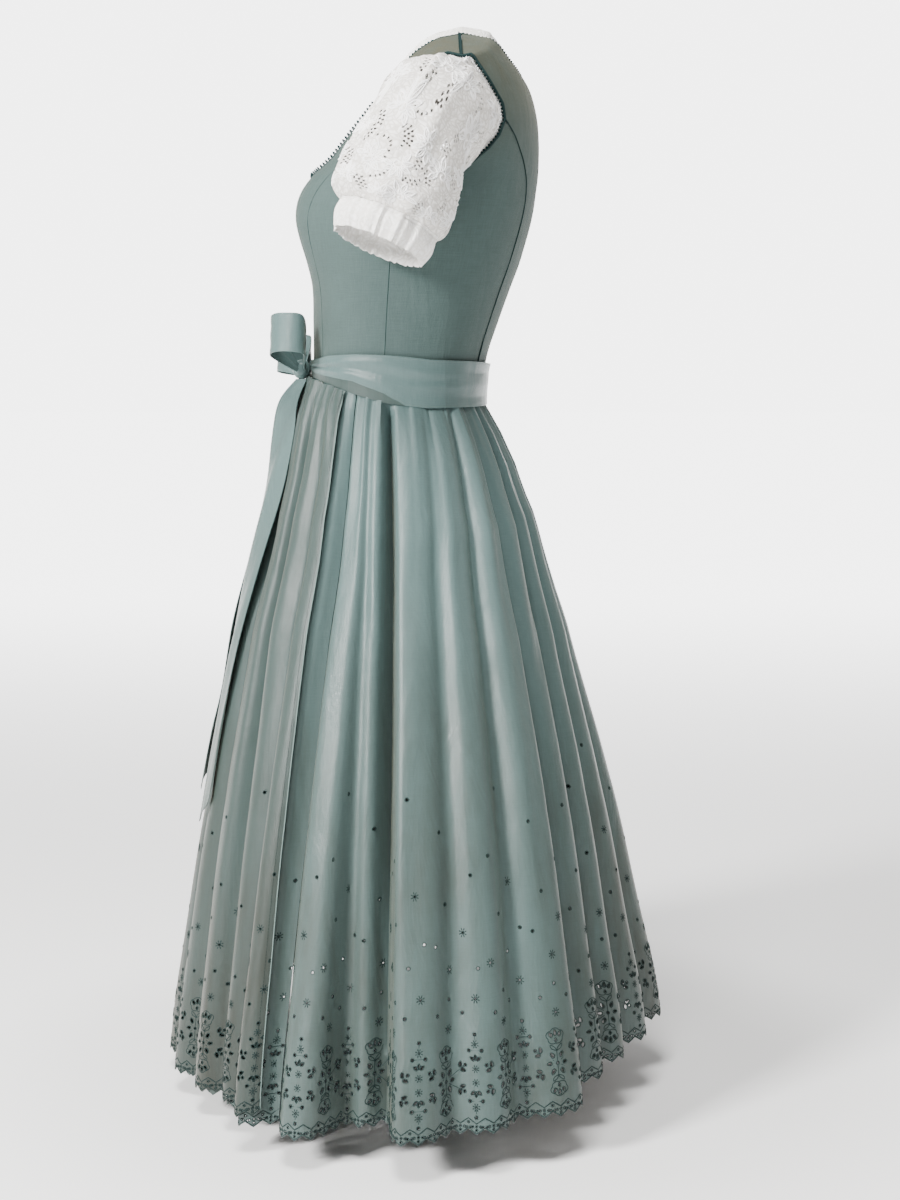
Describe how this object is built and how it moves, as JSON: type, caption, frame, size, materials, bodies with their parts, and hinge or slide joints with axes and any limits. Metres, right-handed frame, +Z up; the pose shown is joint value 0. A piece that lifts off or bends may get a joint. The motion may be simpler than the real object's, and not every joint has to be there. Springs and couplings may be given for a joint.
{
  "type": "dirndl dress",
  "caption": "Worn-form traditional dress: fitted bodice, pleated midi skirt with embroidered hem, apron tied with a bow in front, and a white lace blouse with puffed sleeves.",
  "frame": {"origin": "midway between the tops of the two shoulder straps, level with their highest point: where the wearer's shoulders carry the dress", "axes": "+Z up, -Y the way the wearer faces, +X the wearer's left"},
  "size_m": [0.7059, 0.5387, 1.1074],
  "materials": {
    "linen": "matt",
    "satin_cotton": "satin",
    "white_lace": "matt"
  },
  "bodies": {
    "root": {"bodice_front_centre_left": "linen", "bodice_front_centre_right": "linen", "bodice_front_side_left": "linen", "bodice_front_side_right": "linen", "bodice_back_side_left": "linen", "bodice_back_side_right": "linen", "bodice_back_centre": "linen", "skirt_front": "satin_cotton", "skirt_left": "satin_cotton", "skirt_back": "satin_cotton", "skirt_right": "satin_cotton", "apron_panel": "satin_cotton", "apron_band": "satin_cotton", "tie_left": "satin_cotton", "tie_right": "satin_cotton", "bow_loop_left": "satin_cotton", "bow_loop_right": "satin_cotton", "bow_tail_left": "satin_cotton", "bow_tail_right": "satin_cotton", "bow_knot": "satin_cotton", "blouse_front": "white_lace", "blouse_back": "white_lace", "blouse_collar": "white_lace", "blouse_sleeve_left": "white_lace", "blouse_sleeve_right": "white_lace", "blouse_cuff_left": "white_lace", "blouse_cuff_right": "white_lace"}
  },
  "joints": []
}
